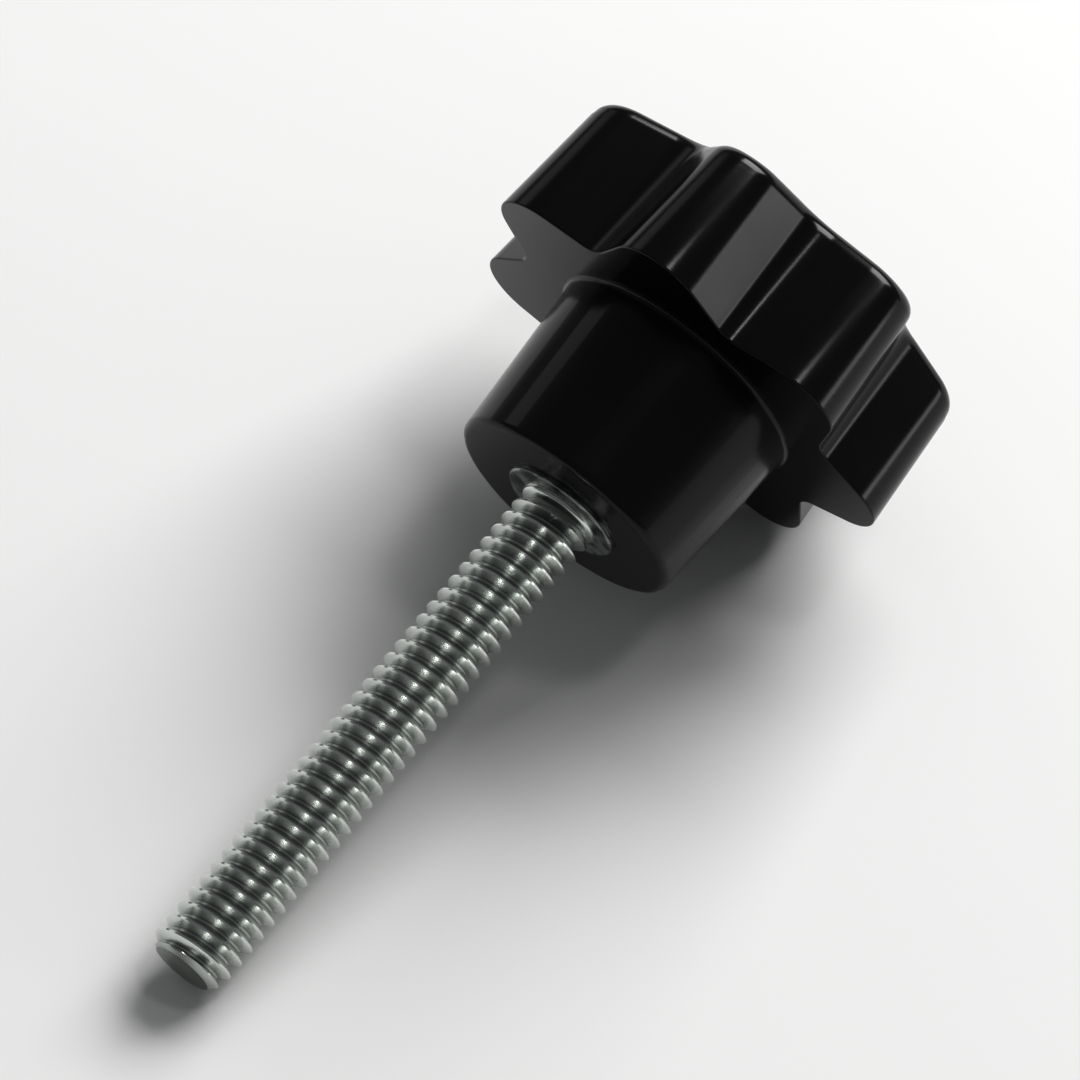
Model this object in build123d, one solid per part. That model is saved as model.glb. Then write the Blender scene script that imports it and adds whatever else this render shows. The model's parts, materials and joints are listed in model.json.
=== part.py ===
from build123d import *
import math
import os

# Thumb screw: a lobed plastic knob moulded round a steel stud, lying as it comes to rest.
# Lengths are in millimetres. Each piece is made upright, with the stud pointing down and
# the hub's face at height zero, and both are then laid down together.

# Stud: a quarter-inch screw shank, turned in one piece with the collar that anchors it
thread_diameter = 6.35
stud_length = 44.45
tip_chamfer = 0.8
collar_diameter = 9.53
collar_proud = 0.4
land_length = 2.0
groove_width = 1.5
groove_depth = 1.0
knurl_length = 8.5
knurl_depth = 0.45
knurl_teeth = 14

# Hub: the round neck under the head, a little wider where it joins the head
hub_face_diameter = 19.0
hub_root_diameter = 20.6
hub_length = 13.7
hub_edge_bevel = 0.5

# Head: lobes to grip, with tight hollows between them, narrowing from its under rim to a crowned top.
# The shares are of the head's radius.
lobe_count = 7
head_diameter = 37.0
crest_share = 0.22
hollow_depth_share = 0.23
hollow_share = 0.11
head_thickness = 11.0
head_draft = 4.4
crown_height = 2.2
top_edge_bevel = 0.6

# Sizes that follow from those above
thread_radius = thread_diameter / 2
collar_radius = collar_diameter / 2
head_radius = head_diameter / 2
crest_radius = crest_share * head_radius
crest_centre = head_radius - crest_radius
hollow_radius = hollow_share * head_radius
hollow_root_radius = head_radius - hollow_depth_share * head_radius
hollow_centre = hollow_root_radius + hollow_radius
half_pitch = math.pi / lobe_count
crown_radius = (head_radius**2 + crown_height**2) / (2 * crown_height)
tip_height = -collar_proud - stud_length
groove_start = land_length
knurl_start = groove_start + groove_width
anchor_top = knurl_start + knurl_length


def polar(radius, angle):
    """Point at a radius and an angle in radians round the screw's axis."""
    return (radius * math.cos(angle), radius * math.sin(angle))


def flank_lean():
    """Angle between a lobe's middle line and the direction that its straight flank faces."""
    rise = hollow_centre * math.sin(half_pitch)
    run = hollow_centre * math.cos(half_pitch) - crest_centre
    return math.atan2(rise, run) - math.acos((crest_radius + hollow_radius) / math.hypot(rise, run))


def lobe_outline():
    """Outline of the head: for each lobe a crest arc, a straight flank, a hollow arc and the next lobe's flank."""
    lean = flank_lean()
    crest_x = crest_centre + crest_radius * math.cos(lean)
    crest_y = crest_radius * math.sin(lean)
    hollow_x = hollow_centre * math.cos(half_pitch) - hollow_radius * math.cos(lean)
    hollow_y = hollow_centre * math.sin(half_pitch) - hollow_radius * math.sin(lean)
    crest_end = (math.hypot(crest_x, crest_y), math.atan2(crest_y, crest_x))
    hollow_end = (math.hypot(hollow_x, hollow_y), math.atan2(hollow_y, hollow_x))
    edges = []
    for lobe in range(lobe_count):
        crest = (2 * lobe + 1) * half_pitch
        following = crest + 2 * half_pitch
        crest_start = polar(crest_end[0], crest - crest_end[1])
        crest_stop = polar(crest_end[0], crest + crest_end[1])
        hollow_start = polar(hollow_end[0], crest + hollow_end[1])
        hollow_stop = polar(hollow_end[0], following - hollow_end[1])
        edges.append(ThreePointArc(crest_start, polar(head_radius, crest), crest_stop))
        edges.append(Line(crest_stop, hollow_start))
        edges.append(ThreePointArc(hollow_start, polar(hollow_root_radius, crest + half_pitch), hollow_stop))
        edges.append(Line(hollow_stop, polar(crest_end[0], following - crest_end[1])))
    return make_face(edges)


def make_head():
    """The drafted lobed disc under a shallow crown, with a bevelled top rim and a crisp parting edge below."""
    disc = extrude(lobe_outline(), head_thickness + crown_height, taper=head_draft)
    crown = Pos(0, 0, head_thickness + crown_height - crown_radius) * Sphere(crown_radius)
    head = Pos(0, 0, hub_length) * (disc & crown)
    top_rim = head.faces().filter_by(GeomType.SPHERE)[0].edges()
    return chamfer(top_rim, top_edge_bevel)


def make_hub():
    """The drafted neck, with a bevelled edge round its face."""
    hub = Pos(0, 0, hub_length / 2) * Cone(hub_face_diameter / 2, hub_root_diameter / 2, hub_length)
    face_rim = hub.faces().sort_by(Axis.Z)[0].edges()
    return chamfer(face_rim, hub_edge_bevel)


def knurl_section():
    """Star-shaped section of the knurled length of the anchor."""
    tooth = math.pi / knurl_teeth
    radii = (collar_radius, collar_radius - knurl_depth)
    return make_face(Polyline([polar(radii[i % 2], i * tooth) for i in range(2 * knurl_teeth)], close=True))


def make_stud():
    """Shank, collar, groove and knurled anchor on one axis."""
    groove_radius = collar_radius - groove_depth
    profile = [
        (0, tip_height),
        (thread_radius - tip_chamfer, tip_height),
        (thread_radius, tip_height + tip_chamfer),
        (thread_radius, -collar_proud),
        (collar_radius, -collar_proud),
        (collar_radius, groove_start),
        (groove_radius, groove_start),
        (groove_radius, anchor_top),
        (0, anchor_top),
    ]
    turned = revolve(make_face(Plane.XZ * Polyline(profile, close=True)), Axis.Z)
    knurl = Pos(0, 0, knurl_start) * extrude(knurl_section(), knurl_length)
    return turned + knurl


def make_knob(stud):
    """Head and hub as one moulding, with the room that the stud's anchor fills."""
    return make_head() + make_hub() - stud


def rest_tilt():
    """Angle in degrees between the axis and the floor, with two lobes and the tip touching it."""
    drop = crest_centre * math.cos(half_pitch) + crest_radius - thread_radius
    run = hub_length - tip_height - tip_chamfer
    return math.degrees(math.atan2(drop, run))


def resting_place(pieces):
    """Place of the upright pieces once they lie on two lobes, over the middle of the floor."""
    lying = Rot(0, 90 - rest_tilt(), 0)
    box = Compound([lying * piece for piece in pieces]).bounding_box()
    middle = box.center()
    return Pos(-middle.X, -middle.Y, -box.min.Z) * lying


stud = make_stud()
knob = make_knob(stud)
place = resting_place([knob, stud])

os.makedirs("parts", exist_ok=True)
for name, piece in {"knob": knob, "threaded_stud": stud}.items():
    export_step(place * piece, f"parts/{name}.step")
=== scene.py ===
import json
import math

import bmesh
import bpy
from mathutils import Matrix, Vector


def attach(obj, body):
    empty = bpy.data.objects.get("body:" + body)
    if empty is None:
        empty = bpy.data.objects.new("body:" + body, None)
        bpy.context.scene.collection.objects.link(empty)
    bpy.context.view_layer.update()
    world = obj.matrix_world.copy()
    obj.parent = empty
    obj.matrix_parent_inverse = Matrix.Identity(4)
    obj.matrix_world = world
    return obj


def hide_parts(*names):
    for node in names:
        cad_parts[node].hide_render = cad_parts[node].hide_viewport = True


# Thumb screw lying on a pale floor: a black lobed knob moulded round a plated steel stud.
# Each piece is made upright, with the screw's axis along Z and the hub's face at height zero, and is then
# laid down where the frame has it. Lengths are in metres.
MM = 0.001

# Knob: what the frame doesn't say about the moulding
lobe_count = 7
crest_share, hollow_depth_share, hollow_share = 0.22, 0.23, 0.11
head_draft = math.radians(4.4)
crown_height = 2.2 * MM
crown_core_share = 0.6
crown_rings = 6
top_edge_radius = 1.1 * MM
parting_edge_radius = 0.12 * MM
hub_face_radius = 9.5 * MM
hub_edge_radius = 0.6 * MM
hub_root_fillet = 0.35 * MM
edge_margin = 0.1 * MM
rim_tolerance = 0.01 * MM
steps_per_arc = 24
steps_per_edge = 8

# Stud: the thread and the anchor that the plastic holds
thread_pitch = 1.27 * MM
thread_depth = 0.72 * MM
thread_crest_share, thread_root_share = 0.0625, 0.4375
runout_share = 0.6
tip_chamfer = 0.8 * MM
collar_edge = 0.15 * MM
groove_start = 2.0 * MM
groove_width = 1.5 * MM
groove_depth = 1.0 * MM
knurl_depth = 0.45 * MM
knurl_teeth = 14
steps_per_tooth = 8
rows_per_turn = 16

# Both pieces: how near points are joined, where shading breaks, and what the knob's unrolled skin carries
weld = 0.001 * MM
sharp_edge = math.radians(42)
skin_layers = ("inset", "radius", "round", "hung")

# Camera: where the photograph was taken from
camera_azimuth = math.radians(-54.89)
camera_elevation = math.radians(54.01)
camera_roll = math.radians(4.08)
camera_distance = 600 * MM
camera_aim = Vector((5.578, 0.120, 12.001)) * MM
camera_lens_mm = 271.4
nearest_seen = 10 * MM
view_gamma = 0.73

# Floor: a sheet of paper, far larger than the view
floor_half_width = 2000 * MM
mottle_size = 60 * MM

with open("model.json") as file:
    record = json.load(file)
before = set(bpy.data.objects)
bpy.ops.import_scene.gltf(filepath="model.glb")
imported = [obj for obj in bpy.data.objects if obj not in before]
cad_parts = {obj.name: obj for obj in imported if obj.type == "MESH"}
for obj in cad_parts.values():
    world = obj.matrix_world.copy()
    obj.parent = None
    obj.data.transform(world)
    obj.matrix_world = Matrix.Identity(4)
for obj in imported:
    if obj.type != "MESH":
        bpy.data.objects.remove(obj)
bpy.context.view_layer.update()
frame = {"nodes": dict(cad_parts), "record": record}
mounts = {mount["name"]: mount for mount in frame["record"]["mounts"]}


def wire(tree, node, inputs):
    """Links or sets a node's inputs by name or place. On a Mix node 0 is the factor, 2 and 3 are numbers,
    4 and 5 vectors and 6 and 7 colours; on a Map Range 1 to 4 are the old and the new limits."""
    for name, value in inputs.items():
        if isinstance(value, bpy.types.Node):
            value = value.outputs[0]
        if isinstance(value, bpy.types.NodeSocket):
            tree.links.new(value, node.inputs[name])
        else:
            node.inputs[name].default_value = value


def add(tree, kind, settings=None, inputs=None):
    """Adds a node with its settings and inputs."""
    node = tree.nodes.new(kind)
    for name, value in (settings or {}).items():
        setattr(node, name, value)
    wire(tree, node, inputs or {})
    return node


def linear(hex_colour):
    """Linear RGBA of an sRGB hex colour."""
    shares = [int(hex_colour[i:i + 2], 16) / 255 for i in (1, 3, 5)]
    return [s / 12.92 if s <= 0.04045 else ((s + 0.055) / 1.055) ** 2.4 for s in shares] + [1.0]


# Places and sizes that the frame gives
screw_up = -Vector(mounts["stud"]["axis"]).normalized()
sideways = Vector((0, 1, 0))
turned = Matrix((sideways.cross(screw_up), sideways, screw_up)).transposed().to_4x4()
along_stud = Matrix.Translation(mounts["stud"]["pos_m"]) @ turned


def upright_points(node, place):
    """Points of a CAD node as they are before the screw is laid down."""
    raised = place.inverted()
    return [raised @ vertex.co for vertex in frame["nodes"][node].data.vertices]


hub_face = min(point.z for point in upright_points("knob", along_stud))
laid = along_stud @ Matrix.Translation((0, 0, hub_face))
knob_points = upright_points("knob", laid)
stud_points = upright_points("threaded_stud", laid)
widest = max(knob_points, key=lambda point: point.xy.length)
head_radius = widest.xy.length
head_under = widest.z
head_top = max(point.z for point in knob_points)
hub_root_radius = min(point.xy.length for point in knob_points if abs(point.z - head_under) < rim_tolerance)
thread_radius = mounts["stud"]["dims"]["r_mm"] * MM
collar_radius = max(point.xy.length for point in stud_points)
collar_face = (laid.inverted() @ Vector(mounts["seat"]["pos_m"])).z
tip = min(point.z for point in stud_points)
anchor_top = max(point.z for point in stud_points)
groove_end = groove_start + groove_width
groove_radius = collar_radius - groove_depth

# The head's outline is a crest arc and a hollow arc for each lobe, with straight flanks between them
half_pitch = math.pi / lobe_count
crest_radius = crest_share * head_radius
crest_centre = head_radius - crest_radius
hollow_radius = hollow_share * head_radius
hollow_root = head_radius - hollow_depth_share * head_radius
hollow_centre = hollow_root + hollow_radius
rise = hollow_centre * math.sin(half_pitch)
run = hollow_centre * math.cos(half_pitch) - crest_centre
crest_swing = math.atan2(rise, run) - math.acos((crest_radius + hollow_radius) / math.hypot(rise, run))
hollow_swing = crest_swing - half_pitch
crown_radius = (head_radius**2 + crown_height**2) / (2 * crown_height)


def moulded_thermoplastic():
    """Black moulded thermoplastic: deep black with a satin gloss, a fine mould grain and handling haze."""
    material = bpy.data.materials.new("moulded thermoplastic")
    material.use_nodes = True
    tree = material.node_tree
    haze_size, grain_size, grain_height = 9 * MM, 0.35 * MM, 0.02 * MM
    place = add(tree, "ShaderNodeTexCoord").outputs["Object"]
    haze = add(tree, "ShaderNodeTexNoise", {}, {"Vector": place, "Scale": 1 / haze_size, "Detail": 4.0})
    grain = add(tree, "ShaderNodeTexNoise", {}, {"Vector": place, "Scale": 1 / grain_size, "Detail": 2.0})
    tint = add(tree, "ShaderNodeMix", {"data_type": "RGBA"}, {
        0: haze, 6: linear("#080808"), 7: linear("#0e0e0f")})
    gloss = add(tree, "ShaderNodeMapRange", {}, {"Value": haze, 1: 0.3, 2: 0.7, 3: 0.15, 4: 0.21})
    bump = add(tree, "ShaderNodeBump", {}, {"Height": grain, "Strength": 0.08, "Distance": grain_height})
    wire(tree, tree.nodes["Principled BSDF"], {
        "Base Color": tint.outputs[2], "Roughness": gloss, "Normal": bump, "IOR": 1.45})
    return material


def zinc_plated_steel():
    """Rolled steel with bright zinc plating: a grey mirror on the crests, darker and duller towards the
    thread's roots, and a collar darkened with painted shade, mixed at random with lighter smears."""
    material = bpy.data.materials.new("zinc-plated rolled steel")
    material.use_nodes = True
    tree = material.node_tree
    streak_size, streak_height, patch_size = 1.6 * MM, 0.03 * MM, 3.5 * MM
    along_stretch = (1.0, 1.0, 8.0)
    place = add(tree, "ShaderNodeTexCoord").outputs["Object"]
    raised = add(tree, "ShaderNodeMapping", {"vector_type": "TEXTURE"}, {
        "Vector": place, "Location": laid.to_translation(), "Rotation": laid.to_euler()})
    flat = add(tree, "ShaderNodeVectorMath", {"operation": "MULTIPLY"}, {0: raised, 1: (1.0, 1.0, 0.0)})
    radius = add(tree, "ShaderNodeVectorMath", {"operation": "LENGTH"}, {0: flat}).outputs["Value"]
    depth = add(tree, "ShaderNodeMapRange", {}, {
        "Value": radius, 1: thread_radius, 2: thread_radius - thread_depth, 3: 0.0, 4: 1.0})
    drawn = add(tree, "ShaderNodeVectorMath", {"operation": "MULTIPLY"}, {0: raised, 1: along_stretch})
    streaks = add(tree, "ShaderNodeTexNoise", {}, {"Vector": drawn, "Scale": 1 / streak_size, "Detail": 3.0})
    patches = add(tree, "ShaderNodeTexNoise", {}, {"Vector": place, "Scale": 1 / patch_size, "Detail": 3.0})
    plating = add(tree, "ShaderNodeMix", {"data_type": "RGBA"}, {
        0: streaks, 6: linear("#cfd2cf"), 7: linear("#eef0ed")})
    # Darker and rougher towards the thread's roots, by a patchy amount.
    root_darkening_strength = add(tree, "ShaderNodeMath", {"operation": "MULTIPLY_ADD"}, {0: patches, 1: 0.5, 2: 0.35})
    root_darkening = add(tree, "ShaderNodeMath", {"operation": "MULTIPLY", "use_clamp": True}, {0: depth, 1: root_darkening_strength})
    finish = add(tree, "ShaderNodeMix", {"data_type": "RGBA"}, {
        0: root_darkening, 6: plating.outputs[2], 7: linear("#868b87")})
    # Painted shade: the collar's colour is darkened to stand in for the shadowed floor it mirrors, mixed at
    # random with lighter smears.
    collar = add(tree, "ShaderNodeMapRange", {}, {
        "Value": radius, 1: thread_radius + weld, 2: thread_radius + collar_edge, 3: 0.0, 4: 1.0})
    smears = add(tree, "ShaderNodeMapRange", {}, {"Value": streaks, 1: 0.4, 2: 0.62, 3: 0.0, 4: 1.0})
    painted_collar_shade = add(tree, "ShaderNodeMix", {"data_type": "RGBA"}, {
        0: smears, 6: linear("#464948"), 7: linear("#b4b7b5")})
    tone_with_painted_collar_shade = add(tree, "ShaderNodeMix", {"data_type": "RGBA"}, {
        0: collar, 6: finish.outputs[2], 7: painted_collar_shade.outputs[2]})
    bare = add(tree, "ShaderNodeMath", {"operation": "MULTIPLY_ADD"}, {0: collar, 1: -0.3, 2: 1.0})
    rough = add(tree, "ShaderNodeMath", {"operation": "MULTIPLY_ADD"}, {0: root_darkening, 1: 0.2, 2: 0.18})
    dullness = add(tree, "ShaderNodeMath", {"operation": "MULTIPLY_ADD"}, {0: collar, 1: 0.06, 2: rough})
    bump = add(tree, "ShaderNodeBump", {}, {"Height": streaks, "Strength": 0.12, "Distance": streak_height})
    wire(tree, tree.nodes["Principled BSDF"], {
        "Base Color": tone_with_painted_collar_shade.outputs[2], "Metallic": bare, "Roughness": dullness, "Normal": bump})
    return material


def shape_tree(name, inputs):
    """New geometry tree with a mesh in and out, and named inputs; gives the tree and its input node."""
    tree = bpy.data.node_groups.new(name, "GeometryNodeTree")
    tree.interface.new_socket("Geometry", in_out="OUTPUT", socket_type="NodeSocketGeometry")
    tree.interface.new_socket("Geometry", in_out="INPUT", socket_type="NodeSocketGeometry")
    for label, kind in inputs.items():
        tree.interface.new_socket(label, in_out="INPUT", socket_type=kind)
    return tree, add(tree, "NodeGroupInput")


def finish_tree(tree, geometry, material):
    """Ends a tree: closes the seams, shades it smooth and gives it its material."""
    closed = add(tree, "GeometryNodeMergeByDistance", {}, {"Geometry": geometry, "Distance": weld})
    smooth = add(tree, "GeometryNodeSetShadeSmooth", {}, {"Geometry": closed})
    real = add(tree, "GeometryNodeRealizeInstances", {}, {"Geometry": smooth})
    painted = add(tree, "GeometryNodeSetMaterial", {}, {"Geometry": real, "Material": material})
    add(tree, "NodeGroupOutput", {}, {"Geometry": painted})


def grown(tree, mesh, values):
    """Runs a tree on a mesh with these values for its inputs, and gives the result as a plain mesh."""
    holder = bpy.data.objects.new(tree.name, mesh)
    bpy.context.scene.collection.objects.link(holder)
    modifier = holder.modifiers.new(tree.name, "NODES")
    modifier.node_group = tree
    for item in tree.interface.items_tree:
        if item.in_out == "INPUT" and item.name in values:
            modifier[item.identifier] = values[item.name]
    depsgraph = bpy.context.evaluated_depsgraph_get()
    made = bpy.data.meshes.new_from_object(holder.evaluated_get(depsgraph), depsgraph=depsgraph)
    bpy.data.objects.remove(holder)
    return made


def lobed_tree():
    """Wraps an unrolled skin round the lobed outline. X counts the arcs, Y is the share of the arc, and Z is
    the height or, where the skin hangs from the crown, the drop below it. The skin's attributes give the way
    in from the outline, the radius of a round ring, how round the ring is, and whether it hangs from the
    crown."""
    lengths = (
        "Crest Centre", "Crest Radius", "Hollow Centre", "Hollow Radius", "Crown Radius", "Crown Centre")
    angles = ("Half Pitch", "Crest Swing", "Hollow Swing")
    kinds = {label: "NodeSocketFloat" for label in lengths + angles}
    tree, given = shape_tree("lobed knob", kinds | {"Material": "NodeSocketMaterial"})
    value = given.outputs
    skin = add(tree, "ShaderNodeSeparateXYZ", {}, {0: add(tree, "GeometryNodeInputPosition")})
    arc, share, height = skin.outputs
    inset, radius, is_round, hung = [
        add(tree, "GeometryNodeInputNamedAttribute", {"data_type": "FLOAT"}, {"Name": name})
        for name in skin_layers]
    hollow = add(tree, "ShaderNodeMath", {"operation": "MODULO"}, {0: arc, 1: 2.0})
    back = add(tree, "ShaderNodeMath", {"operation": "MULTIPLY"}, {0: value["Hollow Swing"], 1: -1.0})
    outside = add(tree, "ShaderNodeMath", {"operation": "MULTIPLY"}, {0: value["Hollow Radius"], 1: -1.0})
    swing = add(tree, "ShaderNodeMix", {}, {0: hollow, 2: value["Crest Swing"], 3: back})
    centre = add(tree, "ShaderNodeMix", {}, {0: hollow, 2: value["Crest Centre"], 3: value["Hollow Centre"]})
    bend = add(tree, "ShaderNodeMix", {}, {0: hollow, 2: value["Crest Radius"], 3: outside})
    sweep = add(tree, "ShaderNodeMath", {"operation": "MULTIPLY_ADD"}, {0: share, 1: 2.0, 2: -1.0})
    middle = add(tree, "ShaderNodeMath", {"operation": "MULTIPLY_ADD"}, {
        0: arc, 1: value["Half Pitch"], 2: value["Half Pitch"]})
    facing = add(tree, "ShaderNodeMath", {"operation": "MULTIPLY_ADD"}, {0: sweep, 1: swing, 2: middle})
    spoke = add(tree, "ShaderNodeVectorRotate", {"rotation_type": "Z_AXIS"}, {
        "Vector": (1.0, 0.0, 0.0), "Angle": middle})
    normal = add(tree, "ShaderNodeVectorRotate", {"rotation_type": "Z_AXIS"}, {
        "Vector": (1.0, 0.0, 0.0), "Angle": facing})
    hinge = add(tree, "ShaderNodeVectorMath", {"operation": "SCALE"}, {0: spoke, "Scale": centre})
    reach = add(tree, "ShaderNodeMath", {"operation": "SUBTRACT"}, {0: bend, 1: inset})
    rim = add(tree, "ShaderNodeVectorMath", {"operation": "MULTIPLY_ADD"}, {0: normal, 1: bend, 2: hinge})
    lobed = add(tree, "ShaderNodeVectorMath", {"operation": "MULTIPLY_ADD"}, {0: normal, 1: reach, 2: hinge})
    outward = add(tree, "ShaderNodeVectorMath", {"operation": "NORMALIZE"}, {0: rim})
    ring = add(tree, "ShaderNodeVectorMath", {"operation": "SCALE"}, {0: outward, "Scale": radius})
    spot = add(tree, "ShaderNodeMix", {"data_type": "VECTOR"}, {0: is_round, 4: lobed, 5: ring}).outputs[1]
    away = add(tree, "ShaderNodeVectorMath", {"operation": "DOT_PRODUCT"}, {0: spot, 1: spot})
    sphere = add(tree, "ShaderNodeMath", {"operation": "POWER"}, {0: value["Crown Radius"], 1: 2.0})
    inside = add(tree, "ShaderNodeMath", {"operation": "SUBTRACT"}, {0: sphere, 1: away.outputs["Value"]})
    dome = add(tree, "ShaderNodeMath", {"operation": "SQRT"}, {0: inside})
    crown = add(tree, "ShaderNodeMath", {"operation": "ADD"}, {0: dome, 1: value["Crown Centre"]})
    below = add(tree, "ShaderNodeMath", {"operation": "SUBTRACT"}, {0: crown, 1: height})
    level = add(tree, "ShaderNodeMix", {}, {0: hung, 2: height, 3: below})
    lift = add(tree, "ShaderNodeCombineXYZ", {}, {"Z": level})
    placed = add(tree, "ShaderNodeVectorMath", {"operation": "ADD"}, {0: spot, 1: lift})
    wrapped = add(tree, "GeometryNodeSetPosition", {}, {"Geometry": value["Geometry"], "Position": placed})
    finish_tree(tree, wrapped, value["Material"])
    return tree


def rounded(across_centre, height_centre, radius, start, end):
    """Points of a rounded edge in a section: (across, height), from one angle to the other."""
    points = []
    for step in range(steps_per_edge + 1):
        angle = start + (end - start) * step / steps_per_edge
        points.append((across_centre + radius * math.cos(angle), height_centre + radius * math.sin(angle)))
    return points


def crown_rows():
    """Rows of the crown, from its middle out to the rounded rim, all hung from the crown's sphere."""
    rim_in = (head_top - crown_height - head_under) * math.tan(head_draft)
    edge_in = rim_in + top_edge_radius
    core = crown_core_share * hollow_root
    rows = [(0, core * ring / crown_rings, 1.0, 1.0, 0) for ring in range(crown_rings)]
    rows += [(edge_in, core, 1 - ring / crown_rings, 1.0, 0) for ring in range(crown_rings)]
    rows += [(inset, 0, 0.0, 1.0, top_edge_radius - height) for inset, height in rounded(
        edge_in, 0, top_edge_radius, math.pi / 2, math.pi)]
    return rows


def wall_rows():
    """Rows of the head's wall below the rim, down to its underside."""
    lean = math.tan(head_draft)
    upper = head_top - crown_height - top_edge_radius - edge_margin
    lower = head_under + parting_edge_radius
    lower_in = (lower - head_under) * lean + parting_edge_radius / math.cos(head_draft)
    under_edge = rounded(lower_in, lower, parting_edge_radius, math.pi - head_draft, 1.5 * math.pi)
    foot = under_edge[0]
    wall = [
        ((upper - head_under) * lean, upper),
        (foot[0] + edge_margin * lean, foot[1] + edge_margin),
        *under_edge,
        (lower_in + edge_margin, head_under),
    ]
    return [(inset, 0, 0.0, 0.0, height) for inset, height in wall]


def hub_rows():
    """Rows of the hub from the head's underside to the end of the anchor's room."""
    slope = (hub_root_radius - hub_face_radius) / head_under
    draft = math.atan(slope)
    root = head_under - hub_root_fillet
    root_out = hub_face_radius + root * slope + hub_root_fillet / math.cos(draft)
    edge_in = hub_face_radius + hub_edge_radius * slope - hub_edge_radius / math.cos(draft)
    fillet = rounded(root_out, root, hub_root_fillet, math.pi / 2, math.pi - draft)
    edge = rounded(edge_in, hub_edge_radius, hub_edge_radius, -draft, -math.pi / 2)
    section = [
        (root_out + edge_margin, head_under),
        *fillet,
        (fillet[-1][0] - edge_margin * slope, fillet[-1][1] - edge_margin),
        (edge[0][0] + edge_margin * slope, edge[0][1] + edge_margin),
        *edge,
        (edge_in - edge_margin, 0),
        (collar_radius + edge_margin, 0),
        (collar_radius, 0),
        (collar_radius, groove_start),
        (groove_radius, groove_start),
        (groove_radius, groove_end),
        (collar_radius, groove_end),
        (collar_radius, anchor_top),
        (0, anchor_top),
    ]
    return [(0, radius, 1.0, 0.0, height) for radius, height in section]


def unrolled_skin():
    """The knob's skin laid out flat, one row for each point of its section, from the top's middle down."""
    arcs, steps = range(2 * lobe_count), range(steps_per_arc + 1)
    columns = [(arc, step / steps_per_arc) for arc in arcs for step in steps]
    columns.append((2 * lobe_count, 0))
    skin = bmesh.new()
    layers = [skin.verts.layers.float.new(name) for name in skin_layers]
    sheet = []
    for *values, height in crown_rows() + wall_rows() + hub_rows():
        line = [skin.verts.new((arc, share, height)) for arc, share in columns]
        for vertex in line:
            for layer, value in zip(layers, values):
                vertex[layer] = value
        sheet.append(line)
    for upper, lower in zip(sheet, sheet[1:]):
        for column in range(len(columns) - 1):
            skin.faces.new((upper[column], lower[column], lower[column + 1], upper[column + 1]))
    mesh = bpy.data.meshes.new("knob skin")
    skin.to_mesh(mesh)
    skin.free()
    return mesh


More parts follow.
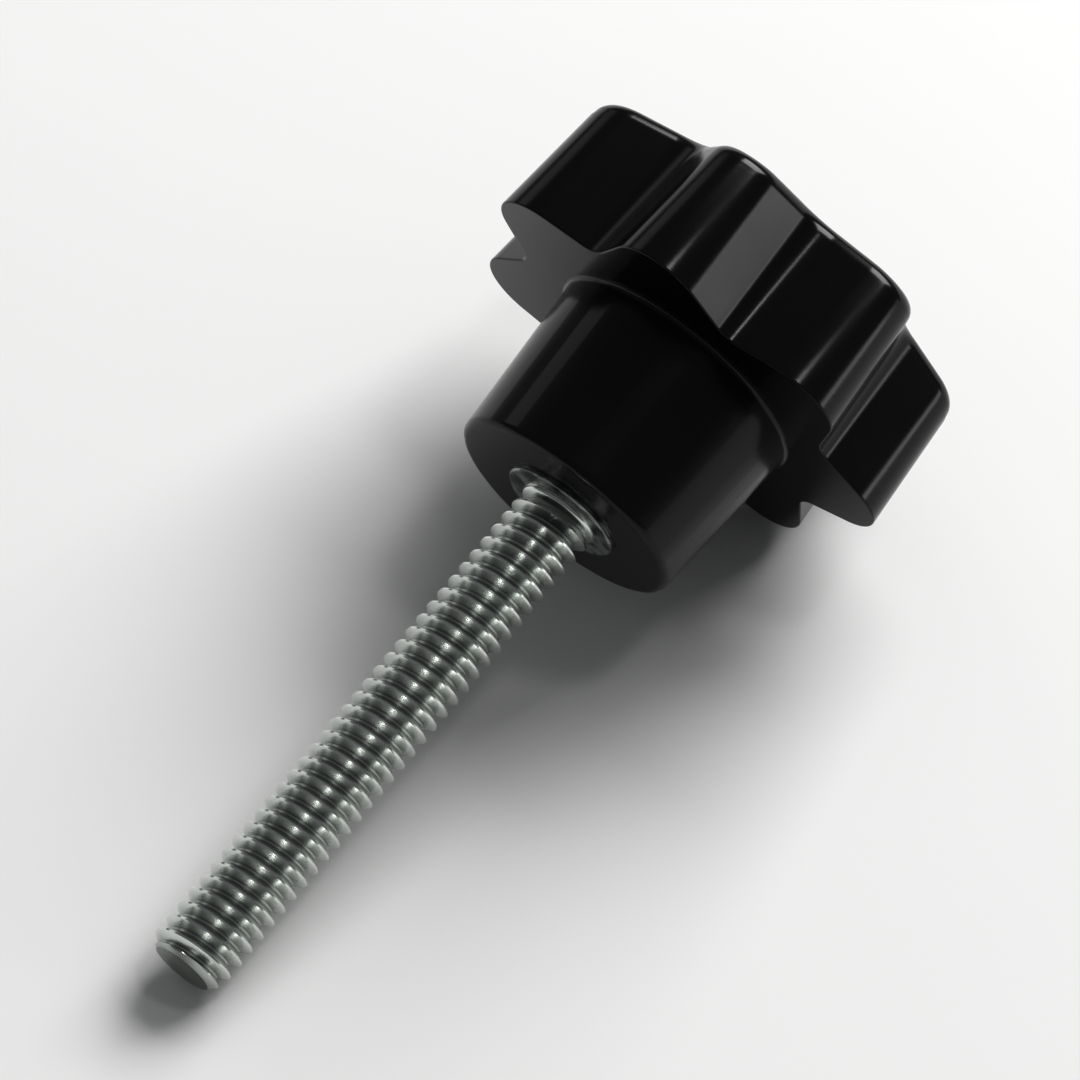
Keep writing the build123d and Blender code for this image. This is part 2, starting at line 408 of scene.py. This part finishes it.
def thread_tree():
    """Rolls a slanted grid up into a right-handed thread, with a chamfered tip and a runout at the collar."""
    lengths = ("Pitch", "Radius", "Depth", "Length", "Foot", "Tip Radius", "Runout")
    kinds = {label: "NodeSocketFloat" for label in lengths}
    kinds |= {label: "NodeSocketInt" for label in ("Turns", "Rows", "Columns")}
    tree, given = shape_tree("rolled thread", kinds | {"Material": "NodeSocketMaterial"})
    value = given.outputs
    grid = add(tree, "GeometryNodeMeshGrid", {}, {
        "Size X": 1.0, "Size Y": value["Turns"],
        "Vertices X": add(tree, "ShaderNodeMath", {"operation": "ADD"}, {0: value["Columns"], 1: 1.0}),
        "Vertices Y": add(tree, "ShaderNodeMath", {"operation": "MULTIPLY_ADD"}, {
            0: value["Turns"], 1: value["Rows"], 2: 1.0})})
    spot = add(tree, "ShaderNodeSeparateXYZ", {}, {0: add(tree, "GeometryNodeInputPosition")})
    around = add(tree, "ShaderNodeMath", {"operation": "ADD"}, {0: spot.outputs[0], 1: 0.5})
    row = add(tree, "ShaderNodeMath", {"operation": "MULTIPLY_ADD"}, {
        0: value["Turns"], 1: 0.5, 2: spot.outputs[1]})
    slant = add(tree, "ShaderNodeMath", {"operation": "SUBTRACT"}, {0: row, 1: around})
    run = add(tree, "ShaderNodeMath", {"operation": "MULTIPLY"}, {0: slant, 1: value["Pitch"]})
    down = add(tree, "ShaderNodeClamp", {}, {"Value": run, "Min": 0.0, "Max": value["Length"]})
    turns = add(tree, "ShaderNodeMath", {"operation": "DIVIDE"}, {0: down, 1: value["Pitch"]})
    helix = add(tree, "ShaderNodeMath", {"operation": "ADD"}, {0: turns, 1: around})
    phase = add(tree, "ShaderNodeMath", {"operation": "FRACT"}, {0: helix})
    offset = add(tree, "ShaderNodeMath", {"operation": "SUBTRACT"}, {0: phase, 1: 0.5})
    from_crest = add(tree, "ShaderNodeMath", {"operation": "ABSOLUTE"}, {0: offset})
    flank = add(tree, "ShaderNodeMapRange", {}, {
        "Value": from_crest, 1: thread_crest_share, 2: thread_root_share, 3: 0.0, 4: value["Depth"]})
    fade = add(tree, "ShaderNodeMapRange", {"interpolation_type": "SMOOTHSTEP"}, {
        "Value": down, 1: 0.0, 2: value["Runout"], 3: 0.0, 4: 1.0})
    cut = add(tree, "ShaderNodeMath", {"operation": "MULTIPLY"}, {0: flank, 1: fade})
    rolled = add(tree, "ShaderNodeMath", {"operation": "SUBTRACT"}, {0: value["Radius"], 1: cut})
    left = add(tree, "ShaderNodeMath", {"operation": "SUBTRACT"}, {0: value["Length"], 1: down})
    cone = add(tree, "ShaderNodeMath", {"operation": "ADD"}, {0: left, 1: value["Tip Radius"]})
    radius = add(tree, "ShaderNodeMath", {"operation": "MINIMUM"}, {0: rolled, 1: cone})
    angle = add(tree, "ShaderNodeMath", {"operation": "MULTIPLY"}, {0: around, 1: math.tau})
    height = add(tree, "ShaderNodeMath", {"operation": "SUBTRACT"}, {0: value["Foot"], 1: down})
    point = add(tree, "ShaderNodeCombineXYZ", {}, {"X": radius, "Z": height})
    placed = add(tree, "ShaderNodeVectorRotate", {"rotation_type": "Z_AXIS"}, {
        "Vector": point, "Angle": angle})
    shank = add(tree, "GeometryNodeSetPosition", {}, {"Geometry": grid, "Position": placed})
    disc = add(tree, "GeometryNodeMeshCircle", {"fill_type": "NGON"}, {
        "Vertices": value["Columns"], "Radius": value["Tip Radius"]})
    depth = add(tree, "ShaderNodeMath", {"operation": "SUBTRACT"}, {0: value["Foot"], 1: value["Length"]})
    end = add(tree, "GeometryNodeTransform", {}, {
        "Geometry": disc, "Translation": add(tree, "ShaderNodeCombineXYZ", {}, {"Z": depth})})
    joined = add(tree, "GeometryNodeJoinGeometry", {}, {"Geometry": shank})
    tree.links.new(end.outputs[0], joined.inputs[0])
    finish_tree(tree, joined, value["Material"])
    return tree


def add_anchor(stud, columns):
    """Turns the collar and the knurled anchor above the thread, on the thread's own columns."""
    section = [
        (thread_radius, collar_face, 0),
        (collar_radius - collar_edge, collar_face, 0),
        (collar_radius, collar_face + collar_edge, 0),
        (collar_radius, groove_start, 0),
        (groove_radius, groove_start, 0),
        (groove_radius, groove_end, 0),
        (collar_radius, groove_end, knurl_depth),
        (collar_radius, anchor_top, knurl_depth),
    ]
    rings = []
    for radius, height, notch in section:
        ring = []
        for column in range(columns):
            tooth = 2 * abs(column / steps_per_tooth % 1 - 0.5)
            angle = column * math.tau / columns
            reach = radius - notch * (1 - tooth)
            ring.append(stud.verts.new((reach * math.cos(angle), reach * math.sin(angle), height)))
        rings.append(ring)
    for lower, upper in zip(rings, rings[1:]):
        for column in range(columns):
            following = (column + 1) % columns
            stud.faces.new((lower[column], lower[following], upper[following], upper[column]))
    stud.faces.new(rings[-1])


def lay_down(name, mesh, node):
    """Closes a piece, lays it down in its place, and lets it stand for its CAD node. The grids that a tree
    starts from leave an empty material slot, so the one real material is given to the whole piece."""
    shell = bmesh.new()
    shell.from_mesh(mesh)
    if node == "threaded_stud":
        add_anchor(shell, knurl_teeth * steps_per_tooth)
    bmesh.ops.remove_doubles(shell, verts=shell.verts, dist=weld)
    bmesh.ops.recalc_face_normals(shell, faces=shell.faces)
    shell.to_mesh(mesh)
    shell.free()
    finish = [material for material in mesh.materials if material][0]
    mesh.materials.clear()
    mesh.materials.append(finish)
    mesh.polygons.foreach_set("material_index", [0] * len(mesh.polygons))
    mesh.transform(laid)
    mesh.shade_smooth()
    mesh.set_sharp_from_angle(angle=sharp_edge)
    piece = bpy.data.objects.new(name, mesh)
    bpy.context.scene.collection.objects.link(piece)
    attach(piece, "root")
    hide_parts(node)


def make_knob():
    """The moulded head and hub, with the room for the anchor."""
    values = {
        "Crest Centre": crest_centre, "Crest Radius": crest_radius,
        "Hollow Centre": hollow_centre, "Hollow Radius": hollow_radius,
        "Crown Radius": crown_radius, "Crown Centre": head_top - crown_radius,
        "Half Pitch": half_pitch, "Crest Swing": crest_swing, "Hollow Swing": hollow_swing,
        "Material": moulded_thermoplastic(),
    }
    mesh = grown(lobed_tree(), unrolled_skin(), values)
    lay_down("lobed_knob", mesh, "knob")


def make_stud():
    """The threaded shank, with its collar and anchor."""
    length = collar_face - tip
    values = {
        "Pitch": thread_pitch, "Radius": thread_radius, "Depth": thread_depth,
        "Length": length, "Foot": collar_face, "Tip Radius": thread_radius - tip_chamfer,
        "Runout": runout_share * thread_pitch, "Turns": math.ceil(length / thread_pitch) + 1,
        "Rows": rows_per_turn, "Columns": knurl_teeth * steps_per_tooth,
        "Material": zinc_plated_steel(),
    }
    mesh = grown(thread_tree(), bpy.data.meshes.new("thread seed"), values)
    lay_down("plated_stud", mesh, "threaded_stud")


def make_floor():
    """Pale matt paper under the screw, with a faint mottle."""
    half = floor_half_width
    mesh = bpy.data.meshes.new("floor")
    corners = [(-half, -half, 0), (half, -half, 0), (half, half, 0), (-half, half, 0)]
    mesh.from_pydata(corners, [], [(0, 1, 2, 3)])
    material = bpy.data.materials.new("pale matt paper")
    material.use_nodes = True
    tree = material.node_tree
    place = add(tree, "ShaderNodeTexCoord").outputs["Object"]
    mottle = add(tree, "ShaderNodeTexNoise", {}, {"Vector": place, "Scale": 1 / mottle_size})
    tone = add(tree, "ShaderNodeMix", {"data_type": "RGBA"}, {
        0: mottle, 6: linear("#f3f3f2"), 7: linear("#f6f6f5")})
    wire(tree, tree.nodes["Principled BSDF"], {
        "Base Color": tone.outputs[2], "Roughness": 0.9, "Specular IOR Level": 0.1})
    mesh.materials.append(material)
    floor = bpy.data.objects.new("floor", mesh)
    bpy.context.scene.collection.objects.link(floor)


def add_lamp(name, azimuth, elevation, distance, width, height, power):
    """A soft oblong lamp that looks at the screw from a direction in degrees. Sizes are in millimetres, and
    the power is in watts."""
    turn, rise = math.radians(azimuth), math.radians(elevation)
    away = Vector((
        math.sin(turn) * math.cos(rise), -math.cos(turn) * math.cos(rise), math.sin(rise)))
    lamp = bpy.data.lights.new(name, "AREA")
    lamp.shape = "RECTANGLE"
    lamp.size = width * MM
    lamp.size_y = height * MM
    lamp.energy = power
    holder = bpy.data.objects.new(name, lamp)
    holder.location = camera_aim + away * distance * MM
    holder.rotation_euler = away.to_track_quat("Z", "Y").to_euler()
    bpy.context.scene.collection.objects.link(holder)


def add_light():
    """Soft studio light: a broad lamp for the floor, a small one overhead, two low cards and a dim room."""
    add_lamp("broad lamp", azimuth=87, elevation=42, distance=1100, width=800, height=700, power=15)
    add_lamp("overhead lamp", azimuth=40, elevation=71, distance=900, width=110, height=110, power=0.5)
    add_lamp("low card", azimuth=26, elevation=5.5, distance=900, width=320, height=150, power=0.62)
    add_lamp("back card", azimuth=165, elevation=22, distance=1100, width=600, height=400, power=0.5)
    world = bpy.data.worlds.new("dim room")
    world.use_nodes = True
    room = world.node_tree
    wire(room, room.nodes["Background"], {"Color": linear("#dadcdd"), "Strength": 0.28})
    bpy.context.scene.world = world


def add_camera():
    """Camera at the photograph's viewing angle."""
    level = Vector((math.cos(camera_azimuth), math.sin(camera_azimuth), 0))
    back = Vector((
        math.sin(camera_azimuth) * math.cos(camera_elevation),
        -math.cos(camera_azimuth) * math.cos(camera_elevation),
        math.sin(camera_elevation)))
    view = Matrix((level, back.cross(level), back)).transposed()
    lens = bpy.data.cameras.new("camera")
    lens.lens = camera_lens_mm
    lens.clip_start = nearest_seen
    camera = bpy.data.objects.new("camera", lens)
    camera.matrix_world = (
        Matrix.Translation(camera_aim + back * camera_distance)
        @ view.to_4x4() @ Matrix.Rotation(camera_roll, 4, "Z"))
    bpy.context.scene.collection.objects.link(camera)
    bpy.context.scene.camera = camera


make_knob()
make_stud()
make_floor()
add_light()
add_camera()
bpy.context.scene.view_settings.view_transform = "Standard"
bpy.context.scene.view_settings.gamma = view_gamma
